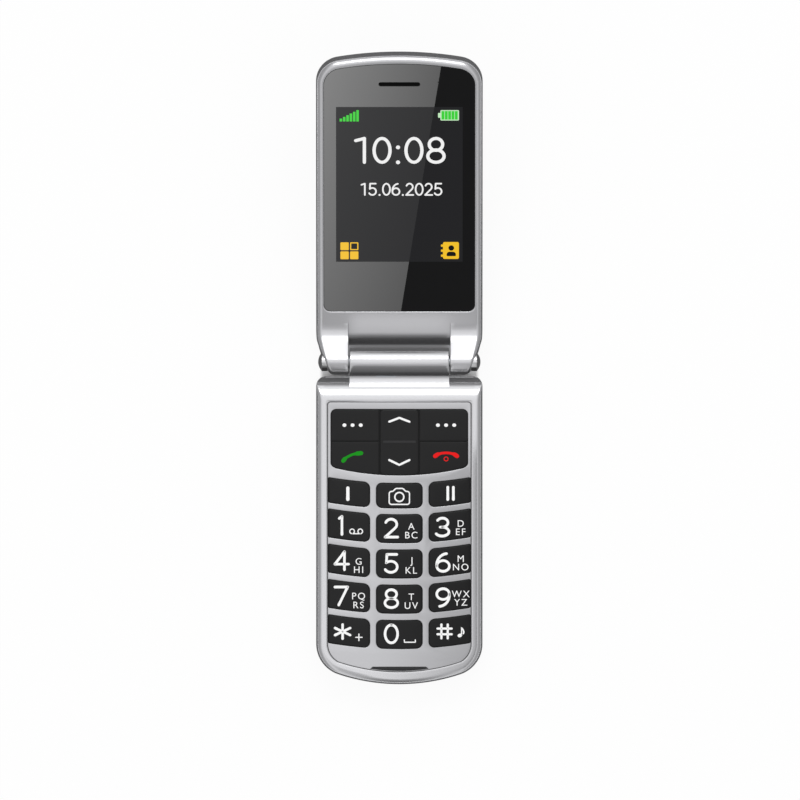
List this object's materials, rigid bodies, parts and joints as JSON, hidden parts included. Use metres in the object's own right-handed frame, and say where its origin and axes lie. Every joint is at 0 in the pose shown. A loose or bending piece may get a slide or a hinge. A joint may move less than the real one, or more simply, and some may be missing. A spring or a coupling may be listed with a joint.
{
  "type": "flip phone",
  "caption": "Clamshell mobile phone with large keys, shown open: display lid on a barrel hinge, navigation cluster, quick keys, camera key and a number pad that travel.",
  "frame": {"origin": "centre of the flat back face of the base, on which the open phone lies", "axes": "+Z out of the keypad, +Y towards the lid, +X to the right as the keypad is read"},
  "size_m": [0.05, 0.1899, 0.0389],
  "materials": {
    "silver_paint": "moulded plastic, satin silver paint",
    "bright_rim": "moulded plastic, bright silver lacquer",
    "key_black": "satin black moulded key caps",
    "window_black": "gloss black acrylic window",
    "screen": "display glass, lit dark grey",
    "soft_pad": "matt black rubber",
    "silicone": "moulded silicone",
    "board": "green solder mask",
    "steel": "bright steel",
    "gold": "gold-plated contacts",
    "film": "amber polyimide film",
    "inner_plastic": "black moulded plastic",
    "battery_wrap": "wrapped aluminium cell",
    "red_key": "red moulded plastic"
  },
  "bodies": {
    "base": {"base_front_housing": "bright_rim", "keypad_faceplate": "silver_paint", "base_rear_housing": "silver_paint", "lid_rest_pad": "soft_pad", "key_mat": "silicone", "dome_sheet": "film", "main_board": "board", "shield_cans": "steel", "sim_holder": "steel", "usb_socket": "steel", "loudspeaker": "inner_plastic", "vibration_motor": "steel", "microphone": "steel", "antenna_carrier": "inner_plastic", "battery": "battery_wrap", "battery_contacts": "gold", "base_screws": "steel", "emergency_switch": "steel", "hinge_cartridge": "steel", "hinge_bush": "steel", "base_flex": "film"},
    "lid": {"lid_front_housing": "silver_paint", "lid_rear_housing": "silver_paint", "display_window": "window_black", "display_module": "screen", "display_gasket": "silicone", "earpiece": "inner_plastic", "earpiece_mesh": "inner_plastic", "lid_board": "board", "lid_magnet": "steel", "camera_module": "inner_plastic", "camera_window": "window_black", "outer_display": "screen", "outer_window": "window_black", "hinge_spindle": "steel", "hinge_tube": "steel", "hinge_end_caps": "bright_rim", "lid_flex": "film"},
    "battery_cover": {"battery_cover": "silver_paint"},
    "emergency_key": {"emergency_key": "red_key"},
    "nav_rocker": {"nav_rocker": "key_black"},
    "soft_key_left": {"soft_key_left": "key_black"},
    "soft_key_right": {"soft_key_right": "key_black"},
    "call_key": {"call_key": "key_black"},
    "end_key": {"end_key": "key_black"},
    "quick_key_1": {"quick_key_1": "key_black"},
    "camera_key": {"camera_key": "key_black"},
    "quick_key_2": {"quick_key_2": "key_black"},
    "key_1": {"key_1": "key_black"},
    "key_2": {"key_2": "key_black"},
    "key_3": {"key_3": "key_black"},
    "key_4": {"key_4": "key_black"},
    "key_5": {"key_5": "key_black"},
    "key_6": {"key_6": "key_black"},
    "key_7": {"key_7": "key_black"},
    "key_8": {"key_8": "key_black"},
    "key_9": {"key_9": "key_black"},
    "key_star": {"key_star": "key_black"},
    "key_0": {"key_0": "key_black"},
    "key_hash": {"key_hash": "key_black"}
  },
  "joints": [
    {"name": "lid_hinge", "type": "hinge", "parent": "base", "child": "lid", "pos_m": [0, 0.05065, 0.009], "axis": [1, 0, 0], "range_deg": [0, 160]},
    {"name": "battery_cover_slide", "type": "slide", "parent": "base", "child": "battery_cover", "axis": [0, -1, 0], "range_m": [0, 0.004]},
    {"name": "emergency_key_press", "type": "slide", "parent": "base", "child": "emergency_key", "axis": [0, 0, 1], "range_m": [0, 0.0003], "stiffness_N_per_m": 300, "springref_m": -0.001},
    {"name": "nav_rocker_tilt", "type": "hinge", "parent": "base", "child": "nav_rocker", "pos_m": [0, 0.02645, 0.0085], "axis": [1, 0, 0], "range_deg": [-1.5, 1.5], "stiffness_Nm_per_rad": 0.1},
    {"name": "soft_key_left_press", "type": "slide", "parent": "base", "child": "soft_key_left", "axis": [0, 0, -1], "range_m": [0, 0.0003], "stiffness_N_per_m": 300, "springref_m": -0.001},
    {"name": "soft_key_right_press", "type": "slide", "parent": "base", "child": "soft_key_right", "axis": [0, 0, -1], "range_m": [0, 0.0003], "stiffness_N_per_m": 300, "springref_m": -0.001},
    {"name": "call_key_press", "type": "slide", "parent": "base", "child": "call_key", "axis": [0, 0, -1], "range_m": [0, 0.0003], "stiffness_N_per_m": 300, "springref_m": -0.001},
    {"name": "end_key_press", "type": "slide", "parent": "base", "child": "end_key", "axis": [0, 0, -1], "range_m": [0, 0.0003], "stiffness_N_per_m": 300, "springref_m": -0.001},
    {"name": "quick_key_1_press", "type": "slide", "parent": "base", "child": "quick_key_1", "axis": [0, 0, -1], "range_m": [0, 0.0003], "stiffness_N_per_m": 300, "springref_m": -0.001},
    {"name": "camera_key_press", "type": "slide", "parent": "base", "child": "camera_key", "axis": [0, 0, -1], "range_m": [0, 0.0003], "stiffness_N_per_m": 300, "springref_m": -0.001},
    {"name": "quick_key_2_press", "type": "slide", "parent": "base", "child": "quick_key_2", "axis": [0, 0, -1], "range_m": [0, 0.0003], "stiffness_N_per_m": 300, "springref_m": -0.001},
    {"name": "key_1_press", "type": "slide", "parent": "base", "child": "key_1", "axis": [0, 0, -1], "range_m": [0, 0.0003], "stiffness_N_per_m": 300, "springref_m": -0.001},
    {"name": "key_2_press", "type": "slide", "parent": "base", "child": "key_2", "axis": [0, 0, -1], "range_m": [0, 0.0003], "stiffness_N_per_m": 300, "springref_m": -0.001},
    {"name": "key_3_press", "type": "slide", "parent": "base", "child": "key_3", "axis": [0, 0, -1], "range_m": [0, 0.0003], "stiffness_N_per_m": 300, "springref_m": -0.001},
    {"name": "key_4_press", "type": "slide", "parent": "base", "child": "key_4", "axis": [0, 0, -1], "range_m": [0, 0.0003], "stiffness_N_per_m": 300, "springref_m": -0.001},
    {"name": "key_5_press", "type": "slide", "parent": "base", "child": "key_5", "axis": [0, 0, -1], "range_m": [0, 0.0003], "stiffness_N_per_m": 300, "springref_m": -0.001},
    {"name": "key_6_press", "type": "slide", "parent": "base", "child": "key_6", "axis": [0, 0, -1], "range_m": [0, 0.0003], "stiffness_N_per_m": 300, "springref_m": -0.001},
    {"name": "key_7_press", "type": "slide", "parent": "base", "child": "key_7", "axis": [0, 0, -1], "range_m": [0, 0.0003], "stiffness_N_per_m": 300, "springref_m": -0.001},
    {"name": "key_8_press", "type": "slide", "parent": "base", "child": "key_8", "axis": [0, 0, -1], "range_m": [0, 0.0003], "stiffness_N_per_m": 300, "springref_m": -0.001},
    {"name": "key_9_press", "type": "slide", "parent": "base", "child": "key_9", "axis": [0, 0, -1], "range_m": [0, 0.0003], "stiffness_N_per_m": 300, "springref_m": -0.001},
    {"name": "key_star_press", "type": "slide", "parent": "base", "child": "key_star", "axis": [0, 0, -1], "range_m": [0, 0.0003], "stiffness_N_per_m": 300, "springref_m": -0.001},
    {"name": "key_0_press", "type": "slide", "parent": "base", "child": "key_0", "axis": [0, 0, -1], "range_m": [0, 0.0003], "stiffness_N_per_m": 300, "springref_m": -0.001},
    {"name": "key_hash_press", "type": "slide", "parent": "base", "child": "key_hash", "axis": [0, 0, -1], "range_m": [0, 0.0003], "stiffness_N_per_m": 300, "springref_m": -0.001}
  ]
}
